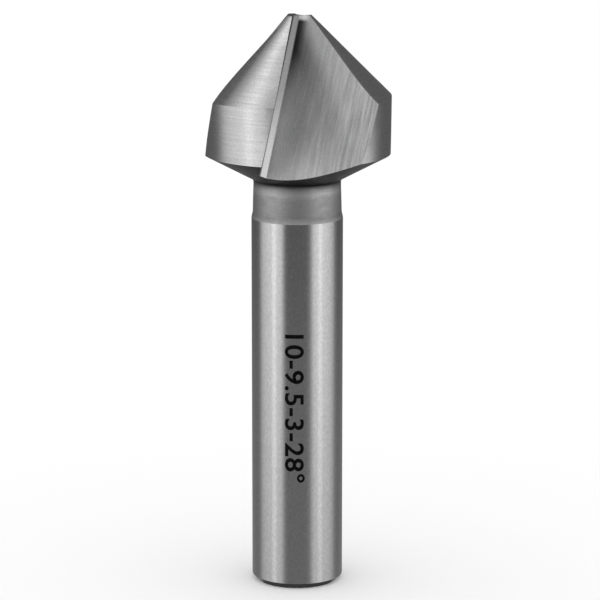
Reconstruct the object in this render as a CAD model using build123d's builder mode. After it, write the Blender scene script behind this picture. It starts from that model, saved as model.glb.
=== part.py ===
from build123d import *
import os
from math import cos, radians, sin, tan

# Countersink bit, ground from one piece of tool steel, in millimetres.
# It stands on its shank, +Z up to the point. The origin is the centre of the flat shank end.

# Overall sizes
OVERALL_LENGTH = 63.0
HEAD_DIAMETER = 20.5
SHANK_DIAMETER = 10.0
POINT_ANGLE = 90.0
FLUTES = 3

# Shank and neck
END_CHAMFER_WIDTH = 0.5
END_CHAMFER_HEIGHT = 0.6
NECK_LENGTH = 4.2
NECK_STEP_HEIGHT = 0.6
NECK_BASE_DIAMETER = 9.72
NECK_TOP_DIAMETER = 9.52
NECK_RADIUS = 0.5

# Head: a small flat at the point, a cone, a band that tapers back a little,
# and an underside that slopes down to the neck
POINT_FLAT_DIAMETER = 3.25
BAND_LENGTH = 6.375
BAND_BACK_TAPER = 0.08
BACK_SLOPE_ANGLE = 28.0

# Clearance ground on the cone behind each cutting edge: the axis of the land's cone is
# set this far to the side, so that the land falls away towards its heel
CONE_RELIEF = 0.36
EDGE_ANGLE = -14.0
RELIEF_LEAD_ANGLE = 17.0

# Flutes: straight grooves, each with a flat rake face along its cutting edge, a narrow
# facet at its foot and a crowned floor that runs out at the heel of the next land.
# The root line of the first passes through one point, and leans and rises from there.
ROOT_BELOW_POINT = 8.0
ROOT_DISTANCE = 3.245
ROOT_ANGLE = -25.84
FLUTE_LEAN = 12.18
FLUTE_RISE = 18.64
ROOT_FACET_WIDTH = 0.85
ROOT_FACET_RISE = 0.28
FLOOR_HOLLOW_AT = 3.0
FLOOR_HOLLOW_RISE = 0.9
FLOOR_CROWN = 0.17
FLOOR_CREST_AT = 9.0
FLOOR_CREST_RISE = 2.75
FLOOR_WIDTH = 12.0
FLOOR_HEEL_RISE = 2.36

# Derived sizes
head_radius = HEAD_DIAMETER / 2
shank_radius = SHANK_DIAMETER / 2
point_radius = POINT_FLAT_DIAMETER / 2
neck_top_radius = NECK_TOP_DIAMETER / 2
band_back_radius = head_radius - BAND_BACK_TAPER
half_point = radians(POINT_ANGLE / 2)
corner_height = OVERALL_LENGTH - (head_radius - point_radius) / tan(half_point)
back_slope = tan(radians(BACK_SLOPE_ANGLE))
band_back_height = corner_height - BAND_LENGTH
neck_top_height = band_back_height - (band_back_radius - neck_top_radius) * back_slope
shank_top_height = neck_top_height - NECK_LENGTH
root_height = OVERALL_LENGTH - ROOT_BELOW_POINT
clear = head_radius + 2.0
floor_middle = (FLOOR_HOLLOW_AT + FLOOR_CREST_AT) / 2
sector = 360.0 / FLUTES

# The direction of the first flute, down the tool, and the plane of its section:
# x across the floor from the root, y out of the tool along the rake face
down_flute = Vector(-tan(radians(FLUTE_LEAN)), -tan(radians(FLUTE_RISE)), -1).normalized()
across_flute = Vector(0, -1, 0).cross(down_flute).normalized()
root_point = Vector(
    ROOT_DISTANCE * sin(radians(ROOT_ANGLE)),
    -ROOT_DISTANCE * cos(radians(ROOT_ANGLE)),
    root_height,
)
run_in = ROOT_BELOW_POINT + clear
run_out = root_height - neck_top_height + 2.0
flute_start = Plane(
    origin=root_point - down_flute * run_in,
    x_dir=across_flute,
    z_dir=down_flute,
)

# One flute, as the metal that is ground away
with BuildPart() as flute:
    with BuildSketch(flute_start):
        with BuildLine():
            floor = Spline(
                (0, 0),
                (FLOOR_HOLLOW_AT, FLOOR_HOLLOW_RISE),
                (floor_middle, (FLOOR_HOLLOW_RISE + FLOOR_CREST_RISE) / 2 + FLOOR_CROWN),
                (FLOOR_CREST_AT, FLOOR_CREST_RISE),
                (FLOOR_WIDTH, FLOOR_HEEL_RISE),
            )
            Polyline(
                floor @ 1,
                (FLOOR_WIDTH, clear * 1.5),
                (-ROOT_FACET_WIDTH, clear * 1.5),
                (-ROOT_FACET_WIDTH, ROOT_FACET_RISE),
                floor @ 0,
            )
        make_face()
    extrude(amount=run_in + run_out)

# The relief of one land: what lies outside the shifted cone within that land's sector
relief_base = band_back_height - 1
relief_side = Vector(cos(radians(EDGE_ANGLE)), sin(radians(EDGE_ANGLE)), 0) * CONE_RELIEF
with BuildPart() as relief:
    with BuildSketch(Plane.XY.offset(band_back_height)):
        with BuildLine():
            rim = CenterArc((0, 0), clear, EDGE_ANGLE + RELIEF_LEAD_ANGLE - 90 - sector, sector)
            Polyline(rim @ 1, (0, 0), rim @ 0)
        make_face()
    extrude(amount=OVERALL_LENGTH - band_back_height + 1)
    with BuildSketch(Plane(origin=relief_side, x_dir=(1, 0, 0), z_dir=(0, -1, 0))):
        with BuildLine():
            Polyline(
                (0, relief_base),
                (point_radius + (OVERALL_LENGTH - relief_base) * tan(half_point), relief_base),
                (point_radius, OVERALL_LENGTH),
                (point_radius, OVERALL_LENGTH + 2),
                (0, OVERALL_LENGTH + 2),
                close=True,
            )
        make_face()
    revolve(axis=Axis(relief_side, (0, 0, 1)), mode=Mode.SUBTRACT)

with BuildPart() as countersink_bit:
    # The turned body: shank, neck, underside of the head, band, cone and point flat
    with BuildSketch(Plane.XZ):
        with BuildLine():
            Polyline(
                (0, 0),
                (shank_radius - END_CHAMFER_WIDTH, 0),
                (shank_radius, END_CHAMFER_HEIGHT),
                (shank_radius, shank_top_height),
                (NECK_BASE_DIAMETER / 2, shank_top_height + NECK_STEP_HEIGHT),
                (neck_top_radius, neck_top_height),
                (band_back_radius, band_back_height),
                (head_radius, corner_height),
                (point_radius, OVERALL_LENGTH),
                (0, OVERALL_LENGTH),
                close=True,
            )
        make_face()
    revolve(axis=Axis.Z)
    # The radius between the neck and the underside of the head
    neck_edge = countersink_bit.edges().filter_by(GeomType.CIRCLE).sort_by(
        lambda e: abs(e.center().Z - neck_top_height)
    )[0]
    fillet(neck_edge, NECK_RADIUS)
    # The lands are relieved and the flutes ground, evenly round the axis
    with PolarLocations(0, FLUTES):
        add(relief.part, mode=Mode.SUBTRACT)
    with PolarLocations(0, FLUTES):
        add(flute.part, mode=Mode.SUBTRACT)

countersink_bit.part.label = "countersink_bit"
os.makedirs("parts", exist_ok=True)
export_step(countersink_bit.part, "parts/countersink_bit.step")
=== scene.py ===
import math

import bmesh
import bpy
from mathutils import Matrix, Vector


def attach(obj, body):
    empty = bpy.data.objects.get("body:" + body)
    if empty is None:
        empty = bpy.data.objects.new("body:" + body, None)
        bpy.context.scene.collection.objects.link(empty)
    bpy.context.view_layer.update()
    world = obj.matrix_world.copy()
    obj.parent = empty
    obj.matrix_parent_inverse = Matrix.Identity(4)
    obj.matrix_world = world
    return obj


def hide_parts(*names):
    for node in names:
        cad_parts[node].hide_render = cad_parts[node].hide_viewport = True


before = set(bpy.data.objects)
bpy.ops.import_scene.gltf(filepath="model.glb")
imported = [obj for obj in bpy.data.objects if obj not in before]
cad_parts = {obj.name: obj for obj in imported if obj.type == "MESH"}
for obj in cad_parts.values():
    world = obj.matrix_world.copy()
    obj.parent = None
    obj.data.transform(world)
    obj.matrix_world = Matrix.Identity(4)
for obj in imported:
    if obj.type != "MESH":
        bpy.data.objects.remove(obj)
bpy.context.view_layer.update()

scene = bpy.context.scene
scene.view_settings.view_transform = "Standard"

# The photograph's view: a long lens a third of a metre away, a little above the bit's
# middle and looking slightly down. The frame is 600 by 600.
camera_height = 0.104726
camera_distance = 0.336824
looking_at = Vector((0.0, 0.0, 0.031595))
camera_data = bpy.data.cameras.new("photo_camera")
camera_data.sensor_width = 36.0
camera_data.lens = 188.41
camera_data.shift_x = 0.00463
camera_data.clip_start = 0.01
camera_data.clip_end = 10.0
camera = bpy.data.objects.new("photo_camera", camera_data)
camera.location = (0.0, -camera_distance, camera_height)
camera.rotation_euler = (looking_at - camera.location).to_track_quat("-Z", "Y").to_euler()
scene.collection.objects.link(camera)
scene.camera = camera

# The bit: one bar of tool steel, turned, hardened and ground all over. The shank is ground
# round and fine, the neck is left as turned, and the lands and flutes show the wheel's
# lines: round the tool on the lands, along the groove in the flutes.
bit_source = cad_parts["countersink_bit"]
shank_top = 0.0409
neck_top = 0.0454
neck_radius = 0.0052
floor_slant = math.radians(31.8)
flute_root = Vector((-0.001414, -0.002921, 0.055))
down_flute = Vector((-0.2004, -0.3131, -0.9283))
across_flute = Vector((0.9775, 0.0, -0.2110))
out_of_flute = Vector((0.0661, -0.9497, 0.3061))


def wheel_lines_group():
    """Lines left by a grinding wheel: long along the first two axes of Lines and close along
    the third, or the first where the lines run along a flute. Contrast says how plain they are."""
    group = bpy.data.node_groups.new("wheel_lines", "ShaderNodeTree")
    sockets = group.interface
    sockets.new_socket("Lines", in_out="INPUT", socket_type="NodeSocketVector")
    sockets.new_socket("Grain", in_out="INPUT", socket_type="NodeSocketVector")
    sockets.new_socket("Colour", in_out="INPUT", socket_type="NodeSocketColor")
    sockets.new_socket("Shade", in_out="INPUT", socket_type="NodeSocketFloat")
    sockets.new_socket("Contrast", in_out="INPUT", socket_type="NodeSocketFloat")
    sockets.new_socket("Smooth", in_out="INPUT", socket_type="NodeSocketFloat")
    sockets.new_socket("Rough", in_out="INPUT", socket_type="NodeSocketFloat")
    sockets.new_socket("Depth", in_out="INPUT", socket_type="NodeSocketFloat")
    sockets.new_socket("Colour", in_out="OUTPUT", socket_type="NodeSocketColor")
    sockets.new_socket("Roughness", in_out="OUTPUT", socket_type="NodeSocketFloat")
    sockets.new_socket("Normal", in_out="OUTPUT", socket_type="NodeSocketVector")
    nodes = group.nodes
    link = group.links.new
    start = nodes.new("NodeGroupInput")
    end = nodes.new("NodeGroupOutput")

    fine = nodes.new("ShaderNodeTexNoise")
    fine.inputs["Scale"].default_value = 1.0
    fine.inputs["Detail"].default_value = 3.0
    fine.inputs["Roughness"].default_value = 0.7
    link(start.outputs["Lines"], fine.inputs["Vector"])
    broad_place = nodes.new("ShaderNodeVectorMath")
    broad_place.operation = "SCALE"
    broad_place.inputs["Scale"].default_value = 0.45
    link(start.outputs["Lines"], broad_place.inputs[0])
    broad = nodes.new("ShaderNodeTexNoise")
    broad.inputs["Scale"].default_value = 1.0
    broad.inputs["Detail"].default_value = 1.0
    link(broad_place.outputs["Vector"], broad.inputs["Vector"])
    grain = nodes.new("ShaderNodeTexNoise")
    grain.inputs["Scale"].default_value = 1.0
    grain.inputs["Detail"].default_value = 2.0
    link(start.outputs["Grain"], grain.inputs["Vector"])

    both = nodes.new("ShaderNodeMath")
    both.operation = "ADD"
    link(fine.outputs["Fac"], both.inputs[0])
    link(broad.outputs["Fac"], both.inputs[1])
    lines = nodes.new("ShaderNodeMapRange")
    lines.inputs["From Min"].default_value = 0.7
    lines.inputs["From Max"].default_value = 1.3
    lines.inputs["To Min"].default_value = -1.0
    lines.inputs["To Max"].default_value = 1.0
    link(both.outputs["Value"], lines.inputs["Value"])
    plain = nodes.new("ShaderNodeMath")
    plain.operation = "MULTIPLY"
    link(lines.outputs["Result"], plain.inputs[0])
    link(start.outputs["Contrast"], plain.inputs[1])
    specks = nodes.new("ShaderNodeMapRange")
    specks.inputs["From Min"].default_value = 0.3
    specks.inputs["From Max"].default_value = 0.7
    specks.inputs["To Min"].default_value = 0.91
    specks.inputs["To Max"].default_value = 1.07
    link(grain.outputs["Fac"], specks.inputs["Value"])
    streaked = nodes.new("ShaderNodeMath")
    streaked.operation = "ADD"
    link(plain.outputs["Value"], streaked.inputs[0])
    link(specks.outputs["Result"], streaked.inputs[1])
    shaded = nodes.new("ShaderNodeMath")
    shaded.operation = "MULTIPLY"
    link(streaked.outputs["Value"], shaded.inputs[0])
    link(start.outputs["Shade"], shaded.inputs[1])
    tone = nodes.new("ShaderNodeVectorMath")
    tone.operation = "SCALE"
    link(start.outputs["Colour"], tone.inputs[0])
    link(shaded.outputs["Value"], tone.inputs["Scale"])
    link(tone.outputs["Vector"], end.inputs["Colour"])

    rough = nodes.new("ShaderNodeMapRange")
    rough.inputs["From Min"].default_value = -1.0
    link(lines.outputs["Result"], rough.inputs["Value"])
    link(start.outputs["Rough"], rough.inputs["To Min"])
    link(start.outputs["Smooth"], rough.inputs["To Max"])
    link(rough.outputs["Result"], end.inputs["Roughness"])
    relief = nodes.new("ShaderNodeMath")
    relief.operation = "ADD"
    link(fine.outputs["Fac"], relief.inputs[0])
    link(grain.outputs["Fac"], relief.inputs[1])
    bump = nodes.new("ShaderNodeBump")
    bump.inputs["Strength"].default_value = 1.0
    link(start.outputs["Depth"], bump.inputs["Distance"])
    link(relief.outputs["Value"], bump.inputs["Height"])
    link(bump.outputs["Normal"], end.inputs["Normal"])
    return group


wheel_lines = wheel_lines_group()


def ground_steel(
    name, place, lines_scale, grain_scale,
    colour, contrast, smooth, rough, depth, stretch=0.0, turned=0.0,
):
    """Steel with wheel lines on Object coordinates, or on the flutes' own map. Returns the
    material, its nodes and the lines node, so that a shade can be added."""
    material = bpy.data.materials.new(name)
    material.use_nodes = True
    nodes = material.node_tree.nodes
    link = material.node_tree.links.new
    shader = nodes["Principled BSDF"]
    shader.inputs["Metallic"].default_value = 1.0
    shader.inputs["Anisotropic"].default_value = stretch
    shader.inputs["Anisotropic Rotation"].default_value = turned
    coordinates = nodes.new("ShaderNodeTexCoord")
    lines = nodes.new("ShaderNodeGroup")
    lines.node_tree = wheel_lines
    for socket, scale in (("Lines", lines_scale), ("Grain", grain_scale)):
        mapping = nodes.new("ShaderNodeMapping")
        mapping.inputs["Scale"].default_value = scale
        link(coordinates.outputs[place], mapping.inputs["Vector"])
        link(mapping.outputs["Vector"], lines.inputs[socket])
    lines.inputs["Colour"].default_value = (colour, colour, colour * 1.006, 1.0)
    lines.inputs["Shade"].default_value = 1.0
    lines.inputs["Contrast"].default_value = contrast
    lines.inputs["Smooth"].default_value = smooth
    lines.inputs["Rough"].default_value = rough
    lines.inputs["Depth"].default_value = depth
    link(lines.outputs["Colour"], shader.inputs["Base Color"])
    link(lines.outputs["Roughness"], shader.inputs["Roughness"])
    link(lines.outputs["Normal"], shader.inputs["Normal"])
    return material, nodes, link, coordinates, lines


def along(nodes, link, source, axis, stops):
    """A value that changes along one axis of the coordinates. Stops are (metres, value)."""
    split = nodes.new("ShaderNodeSeparateXYZ")
    link(source, split.inputs["Vector"])
    first, last = stops[0][0], stops[-1][0]
    spread = nodes.new("ShaderNodeMapRange")
    spread.inputs["From Min"].default_value = first
    spread.inputs["From Max"].default_value = last
    link(split.outputs[axis], spread.inputs["Value"])
    curve = nodes.new("ShaderNodeValToRGB")
    marks = curve.color_ramp.elements
    while len(marks) < len(stops):
        marks.new(1.0)
    for mark, (at, value) in zip(marks, stops):
        mark.position = (at - first) / (last - first)
        mark.color = (value, value, value, 1.0)
    link(spread.outputs["Result"], curve.inputs["Fac"])
    return curve.outputs["Color"]


# The shank, ground round and fine, with painted shade making it a little darker towards its lower
# end
shank_steel, nodes, link, coordinates, lines = ground_steel(
    "shank_steel", "Object",
    lines_scale=(1500, 1500, 2500),
    grain_scale=(4200, 4200, 2600),
    colour=0.61,
    contrast=0.012,
    smooth=0.15,
    rough=0.18,
    depth=5.0e-7,
    stretch=0.2,
    turned=0.25,
)
# Painted shade: the shank's colour is darkened towards its lower end
link(
    along(
        nodes, link, coordinates.outputs["Object"], "Z",
        [(0.0, 0.68), (0.012, 0.77), (0.025, 0.88), (0.042, 0.97)],
    ),
    lines.inputs["Shade"],
)

# The neck, turned and left dull, with a painted shadow in the corner under the head and painted
# highlight bands below it
neck_steel, nodes, link, coordinates, lines = ground_steel(
    "neck_steel", "Object",
    lines_scale=(1500, 1500, 5000),
    grain_scale=(7000, 7000, 7000),
    colour=0.47,
    contrast=0.04,
    smooth=0.48,
    rough=0.60,
    depth=5e-6,
)
# Painted shadow and highlight: near black in the corner under the head, with lighter bands below it
# and at the neck's foot
link(
    along(
        nodes, link, coordinates.outputs["Object"], "Z",
        [
            (0.0409, 1.15), (0.0414, 0.86), (0.0434, 0.95), (0.0441, 1.22),
            (0.0445, 0.95), (0.0448, 0.52), (0.0450, 0.22), (0.0452, 0.10),
        ],
    ),
    lines.inputs["Shade"],
)

# The lands, with the wheel's lines round the tool
land_steel, nodes, link, coordinates, lines = ground_steel(
    "land_steel", "Object",
    lines_scale=(200, 200, 10500),
    grain_scale=(4500, 4500, 6000),
    colour=0.62,
    contrast=0.058,
    smooth=0.22,
    rough=0.30,
    depth=2.5e-6,
    stretch=0.4,
    turned=0.25,
)

# The underside of the head and the small flat on the point, less finely ground, with painted shade
# making them much darker
shaded_back_steel, nodes, link, coordinates, lines = ground_steel(
    "shaded_back_steel", "Object",
    lines_scale=(1200, 1200, 7000),
    grain_scale=(5000, 5000, 5000),
    # Painted shade: a near-black colour for the shaded underside and point flat
    colour=0.09,
    contrast=0.04,
    smooth=0.34,
    rough=0.42,
    depth=3.0e-6,
)

# The flutes' floors, with the lines along the groove, plainest towards the next land. Their colour
# carries painted shade, painted reflections, a painted highlight on the facet and a painted glint
# at the point.
flute_steel, nodes, link, coordinates, lines = ground_steel(
    "flute_steel", "UV",
    lines_scale=(5800, 360, 1),
    grain_scale=(6000, 5000, 1),
    colour=0.60,
    contrast=0.1,
    smooth=0.24,
    rough=0.34,
    depth=4.0e-6,
    stretch=0.5,
    turned=0.0,
)
link(
    along(
        nodes, link, coordinates.outputs["UV"], "X",
        [(-0.001, 0.05), (0.002, 0.05), (0.0042, 0.15), (0.008, 0.30)],
    ),
    lines.inputs["Contrast"],
)
# Painted shade: a dark line along the facet's outer edge and a slight darkening at the root
root_line_shade = along(
    nodes, link, coordinates.outputs["UV"], "X",
    [
        (-0.00085, 0.12), (-0.00070, 0.18), (-0.00060, 1.0),
        (-0.0001, 1.0), (0.0001, 0.85), (0.0006, 1.0),
    ],
)
# Painted reflection and shade: a dark fan, as of the rake wall reflected in the floor, spreads from
# the point and lightens down the flute; its slanted edge gives way to the plain floor
slant = nodes.new("ShaderNodeMapping")
slant.inputs["Rotation"].default_value = (0.0, 0.0, floor_slant)
link(coordinates.outputs["UV"], slant.inputs["Vector"])
painted_reflection_edge = along(
    nodes, link, slant.outputs["Vector"], "X",
    [(0.0028, 0.0), (0.0040, 0.22), (0.0052, 0.72), (0.0070, 0.86), (0.0110, 0.84)],
)
root_painted_reflection = along(
    nodes, link, coordinates.outputs["UV"], "Y",
    [
        (-0.0085, 0.05), (-0.0060, 0.08), (-0.0045, 0.13), (-0.0030, 0.32),
        (0.0, 0.82), (0.0030, 1.3), (0.0060, 1.35), (0.0080, 1.25),
    ],
)
hollow_painted_reflection = along(
    nodes, link, coordinates.outputs["UV"], "Y",
    [
        (-0.0085, 0.09), (-0.0060, 0.12), (-0.0030, 0.29), (0.0, 0.50),
        (0.0030, 0.66), (0.0060, 0.80), (0.0080, 0.97),
    ],
)
from_root = along(nodes, link, coordinates.outputs["UV"], "X", [(0.0002, 0.0), (0.0024, 1.0)])
deep_painted_reflection = nodes.new("ShaderNodeMix")
link(from_root, deep_painted_reflection.inputs["Factor"])
link(root_painted_reflection, deep_painted_reflection.inputs["A"])
link(hollow_painted_reflection, deep_painted_reflection.inputs["B"])
floor_shade = nodes.new("ShaderNodeMix")
link(painted_reflection_edge, floor_shade.inputs["Factor"])
link(deep_painted_reflection.outputs["Result"], floor_shade.inputs["A"])
floor_shade.inputs["B"].default_value = 1.0
# Painted shade and highlight: the facet darker near the point and much brighter towards the head's
# lower rim
facet_painted_light = along(
    nodes, link, coordinates.outputs["UV"], "Y",
    [(-0.0090, 0.75), (0.0, 0.95), (0.0038, 1.4), (0.0080, 1.85)],
)
past_facet = along(nodes, link, coordinates.outputs["UV"], "X", [(-0.0001, 0.0), (0.0001, 1.0)])
flute_shade = nodes.new("ShaderNodeMix")
link(past_facet, flute_shade.inputs["Factor"])
link(facet_painted_light, flute_shade.inputs["A"])
link(floor_shade.outputs["Result"], flute_shade.inputs["B"])
# Painted glint and shade: a bright spot at the very point, then dark shade along the root below it
point_painted_glint_and_shade = along(
    nodes, link, coordinates.outputs["UV"], "Y",
    [(-0.0090, 2.6), (-0.0083, 2.6), (-0.0080, 0.12), (-0.0060, 0.3), (-0.0030, 0.8), (0.0, 1.0)],
)
near_root = along(
    nodes, link, coordinates.outputs["UV"], "X",
    [(-0.0001, 1.0), (0.0, 0.0), (0.0004, 0.1), (0.0011, 1.0)],
)
root_shade = nodes.new("ShaderNodeMix")
link(near_root, root_shade.inputs["Factor"])
link(point_painted_glint_and_shade, root_shade.inputs["A"])
root_shade.inputs["B"].default_value = 1.0
edges = nodes.new("ShaderNodeMath")
edges.operation = "MULTIPLY"
link(root_line_shade, edges.inputs[0])
link(root_shade.outputs["Result"], edges.inputs[1])
shade = nodes.new("ShaderNodeMath")
shade.operation = "MULTIPLY"
link(edges.outputs["Value"], shade.inputs[0])
link(flute_shade.outputs["Result"], shade.inputs[1])
link(shade.outputs["Value"], lines.inputs["Shade"])

# The rake faces, close beside the cutting edges, with painted shade making them dark, most of all
# near the point
rake_steel, nodes, link, coordinates, lines = ground_steel(
    "rake_steel", "UV",
    lines_scale=(5200, 160, 1),
    grain_scale=(6000, 5000, 1),
    colour=0.42,
    contrast=0.08,
    smooth=0.28,
    rough=0.36,
    depth=2.0e-6,
    stretch=0.5,
    turned=0.0,
)
# Painted shade: the rake faces darken further towards the point
link(
    along(
        nodes, link, coordinates.outputs["UV"], "Y",
        [(-0.0095, 0.16), (-0.0075, 0.22), (-0.0055, 1.0)],
    ),
    lines.inputs["Shade"],
)

bit_mesh = bit_source.data.copy()
bit_mesh.materials.clear()
steels = [shank_steel, neck_steel, land_steel, shaded_back_steel, flute_steel, rake_steel]
for steel in steels:
    bit_mesh.materials.append(steel)
flute_map = bit_mesh.uv_layers.new(name="flute_lines")
turns = [Matrix.Rotation(math.radians(120 * number), 3, "Z") for number in range(3)]
for face in bit_mesh.polygons:
    middle = face.center
    outward = Vector((middle.x, middle.y, 0)).normalized()
    along_cone = (outward + Vector((0, 0, 1))).normalized()
    rake = max(turns, key=lambda turn: face.normal.dot(turn @ across_flute))
    floor_turn = max(turns, key=lambda turn: face.normal.dot(turn @ out_of_flute))
    if middle.z < shank_top:
        steel = shank_steel
    elif middle.z < neck_top and math.hypot(middle.x, middle.y) < neck_radius:
        steel = neck_steel
    elif face.normal.z < -0.6 or face.normal.z > 0.98:
        steel = shaded_back_steel
    elif face.normal.dot(outward) > 0.985 or face.normal.dot(along_cone) > 0.96:
        steel = land_steel
    elif face.normal.dot(rake @ across_flute) > 0.97:
        steel = rake_steel
    else:
        steel = flute_steel
    face.material_index = steels.index(steel)
    if steel in (flute_steel, rake_steel):
        turn = rake if steel is rake_steel else floor_turn
        side = out_of_flute if steel is rake_steel else across_flute
        for corner in face.loop_indices:
            vertex = bit_mesh.vertices[bit_mesh.loops[corner].vertex_index]
            point = turn.inverted() @ vertex.co - flute_root
            flute_map.data[corner].uv = (point.dot(side), point.dot(down_flute))
bit = bpy.data.objects.new("ground_bit", bit_mesh)
scene.collection.objects.link(bit)
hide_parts("countersink_bit")
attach(bit, "root")

# The size marking: plain black numbers, burnt into the shank's surface by a laser and read
# down the tool. They say how wide the shank and the neck are, the number of flutes and the
# slope under the head.
mark_height = 0.00222
mark_length = 0.0166
mark_middle = 0.0205
mark_turn = -0.055
mark_radius = 0.00501
mark_skin = 0.00003
mark_strips = 14
mark_text = bpy.data.curves.new("size_numbers", "FONT")
mark_text.body = "10-9.5-3-28°"
mark_text.size = 0.003
mark_text.space_character = 1.05
mark_text.offset = 0.00005
text_object = bpy.data.objects.new("size_numbers_text", mark_text)
scene.collection.objects.link(text_object)
bpy.context.view_layer.update()
mark_mesh = bpy.data.meshes.new_from_object(text_object)
bpy.data.objects.remove(text_object)
form = bmesh.new()
form.from_mesh(mark_mesh)
bmesh.ops.remove_doubles(form, verts=form.verts, dist=1e-7)
left = min(v.co.x for v in form.verts)
right = max(v.co.x for v in form.verts)
low = min(v.co.y for v in form.verts)
high = max(v.co.y for v in form.verts)
for vert in form.verts:
    vert.co.x = (vert.co.x - (left + right) / 2) * mark_length / (right - left)
    vert.co.y = (vert.co.y - (low + high) / 2) * mark_height / (high - low)
for step in range(1, mark_strips):
    cut_at = -mark_height / 2 + mark_height * step / mark_strips
    bmesh.ops.bisect_plane(
        form,
        geom=form.verts[:] + form.edges[:] + form.faces[:],
        plane_co=(0, cut_at, 0),
        plane_no=(0, 1, 0),
    )
bmesh.ops.remove_doubles(form, verts=form.verts, dist=2e-6)
bmesh.ops.dissolve_degenerate(form, edges=form.edges[:], dist=2e-6)
for vert in form.verts:
    turn = mark_turn + vert.co.y / mark_radius
    vert.co = Vector((
        mark_radius * math.sin(turn),
        -mark_radius * math.cos(turn),
        mark_middle - vert.co.x,
    ))
spare = [
    min(edge.link_faces, key=lambda face: face.calc_area())
    for edge in form.edges
    if len(edge.link_faces) > 2
]
bmesh.ops.delete(form, geom=spare, context="FACES")
form.normal_update()
bmesh.ops.solidify(form, geom=form.faces[:], thickness=mark_skin)
bmesh.ops.recalc_face_normals(form, faces=form.faces[:])
form.to_mesh(mark_mesh)
form.free()
mark_black, nodes, link, coordinates, lines = ground_steel(
    "burnt_black", "Object",
    lines_scale=(3000, 3000, 3000),
    grain_scale=(9000, 9000, 9000),
    colour=0.0035,
    contrast=0.3,
    smooth=0.6,
    rough=0.8,
    depth=3.0e-6,
)
nodes["Principled BSDF"].inputs["Metallic"].default_value = 0.0
nodes["Principled BSDF"].inputs["Specular IOR Level"].default_value = 0.05
mark_mesh.materials.clear()
mark_mesh.materials.append(mark_black)
marking = bpy.data.objects.new("size_numbers", mark_mesh)
scene.collection.objects.link(marking)
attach(marking, "root")

# The studio: a pale floor, white surroundings, two soft strips and a soft overhead light.
# Dark gauze round the bit and a card below and above it give the steel its dark bands.
gauze_radius = 0.4
floor_mesh = bpy.data.meshes.new("floor")
form = bmesh.new()
bmesh.ops.create_grid(form, x_segments=1, y_segments=1, size=4.0)
form.to_mesh(floor_mesh)
form.free()
floor_paint = bpy.data.materials.new("floor_paint")
floor_paint.use_nodes = True
floor_shader = floor_paint.node_tree.nodes["Principled BSDF"]
floor_shader.inputs["Base Color"].default_value = (1.0, 1.0, 1.0, 1.0)
floor_shader.inputs["Roughness"].default_value = 0.9
floor_shader.inputs["Specular IOR Level"].default_value = 0.0
floor_mesh.materials.append(floor_paint)
floor = bpy.data.objects.new("floor", floor_mesh)
floor.visible_glossy = False
scene.collection.objects.link(floor)


def gauze(name, shades, bottom, top):
    """Dark gauze bent round the bit, seen only in the steel. Each shade is an angle from the
    camera's side, counted to the right, and how much of the white behind it is held back."""
    paint = bpy.data.materials.new(name)
    paint.use_nodes = True
    nodes = paint.node_tree.nodes
    link = paint.node_tree.links.new
    nodes.remove(nodes["Principled BSDF"])
    place = nodes.new("ShaderNodeTexCoord")
    middle = (shades[0][0] + shades[-1][0]) / 2
    centred = nodes.new("ShaderNodeMapping")
    centred.inputs["Rotation"].default_value = (0.0, 0.0, math.radians(90 - middle))
    link(place.outputs["Object"], centred.inputs["Vector"])
    turn = nodes.new("ShaderNodeTexGradient")
    turn.gradient_type = "RADIAL"
    link(centred.outputs["Vector"], turn.inputs["Vector"])
    weave = nodes.new("ShaderNodeValToRGB")
    stops = weave.color_ramp.elements
    while len(stops) < len(shades):
        stops.new(1.0)
    for stop, (angle, shade) in zip(stops, shades):
        stop.position = 0.5 + (angle - middle) / 360
        stop.color = (shade, shade, shade, 1.0)
    link(turn.outputs["Fac"], weave.inputs["Fac"])
    thread = nodes.new("ShaderNodeEmission")
    link(
        along(
            nodes, link, place.outputs["Object"], "Z",
            [(-0.14, 0.32), (-0.09, 0.24), (-0.03, 0.12)],
        ),
        thread.inputs["Strength"],
    )
    gap = nodes.new("ShaderNodeBsdfTransparent")
    cloth = nodes.new("ShaderNodeMixShader")
    link(weave.outputs["Color"], cloth.inputs["Fac"])
    link(gap.outputs["BSDF"], cloth.inputs[1])
    link(thread.outputs["Emission"], cloth.inputs[2])
    link(cloth.outputs["Shader"], nodes["Material Output"].inputs["Surface"])
    mesh = bpy.data.meshes.new(name)
    sheet = bmesh.new()
    start = math.radians(shades[0][0])
    side = [
        sheet.verts.new((gauze_radius * math.sin(start), -gauze_radius * math.cos(start), height))
        for height in (bottom, top)
    ]
    line = sheet.edges.new(side)
    bmesh.ops.spin(
        sheet,
        geom=side + [line],
        cent=(0, 0, 0),
        axis=(0, 0, 1),
        angle=math.radians(shades[-1][0]) - start,
        steps=48,
    )
    sheet.to_mesh(mesh)
    sheet.free()
    mesh.materials.append(paint)
    thing = bpy.data.objects.new(name, mesh)
    thing.visible_camera = False
    thing.visible_diffuse = False
    thing.visible_shadow = False
    scene.collection.objects.link(thing)


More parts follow.
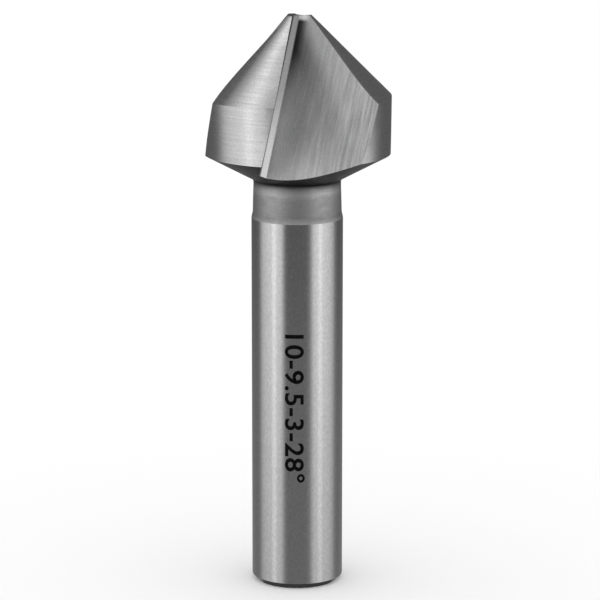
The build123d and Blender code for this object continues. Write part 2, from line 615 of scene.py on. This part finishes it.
gauze(
    "gauze_by_camera",
    [
        (-50, 0.0), (-41, 0.14), (-36, 0.5), (-31, 0.88), (-25, 1.0),
        (20, 1.0), (28, 0.94), (33, 0.78), (38, 0.4), (43, 0.1), (50, 0.0),
    ],
    -0.35,
    0.13,
)
gauze(
    "gauze_over_camera",
    [(-80, 0.0), (-60, 0.38), (10, 0.38), (25, 0.5), (40, 0.62), (65, 0.62), (82, 0.3), (95, 0.0)],
    0.13,
    0.45,
)
behind = [
    (66, 0.0), (80, 0.08), (92, 0.25), (102, 0.5), (109, 0.85), (122, 1.0),
    (238, 1.0), (250, 0.92), (257, 0.6), (264, 0.33), (272, 0.2), (284, 0.07), (294, 0.0),
]
gauze("gauze_behind", behind, -0.35, 0.36)
gauze("gauze_behind_high", [(angle, shade * 0.65) for angle, shade in behind], 0.36, 0.46)
gauze("gauze_behind_top", [(angle, shade * 0.3) for angle, shade in behind], 0.46, 0.60)


def dark_disc(name, height, width, glow):
    """A round dark card under or over the bit, seen only in the steel."""
    mesh = bpy.data.meshes.new(name)
    sheet = bmesh.new()
    bmesh.ops.create_circle(sheet, cap_ends=True, segments=48, radius=width / 2)
    bmesh.ops.translate(sheet, verts=sheet.verts, vec=(0, 0, height))
    sheet.to_mesh(mesh)
    sheet.free()
    paint = bpy.data.materials.new(name)
    paint.use_nodes = True
    shader = paint.node_tree.nodes["Principled BSDF"]
    shader.inputs["Base Color"].default_value = (0.0, 0.0, 0.0, 1.0)
    shader.inputs["Specular IOR Level"].default_value = 0.0
    shader.inputs["Emission Color"].default_value = (1.0, 1.0, 1.0, 1.0)
    shader.inputs["Emission Strength"].default_value = glow
    mesh.materials.append(paint)
    thing = bpy.data.objects.new(name, mesh)
    thing.visible_camera = False
    thing.visible_diffuse = False
    thing.visible_shadow = False
    scene.collection.objects.link(thing)


dark_disc("card_below", -0.30, 0.84, 0.08)
dark_disc("card_overhead", 0.80, 0.80, 0.5)

surroundings = bpy.data.worlds.new("white_surroundings")
surroundings.use_nodes = True
scene.world = surroundings
background = surroundings.node_tree.nodes["Background"]
background.inputs["Color"].default_value = (1.0, 1.0, 1.0, 1.0)
background.inputs["Strength"].default_value = 1.0


def soft_light(name, place, width, height, watts):
    """A rectangular softbox that faces the bit."""
    data = bpy.data.lights.new(name, "AREA")
    data.shape = "RECTANGLE"
    data.size = width
    data.size_y = height
    data.energy = watts
    lamp = bpy.data.objects.new(name, data)
    lamp.location = place
    lamp.rotation_euler = (Vector((0, 0, 0.03)) - Vector(place)).to_track_quat("-Z", "Y").to_euler()
    scene.collection.objects.link(lamp)
    return lamp


soft_light("strip_left", (-0.44, -0.25, -0.05), 0.10, 0.6, 0.06)
soft_light("strip_right", (0.44, -0.25, -0.05), 0.10, 0.6, 0.05)
soft_light("overhead", (-0.376, 0.087, 0.643), 0.25, 0.25, 0.06)
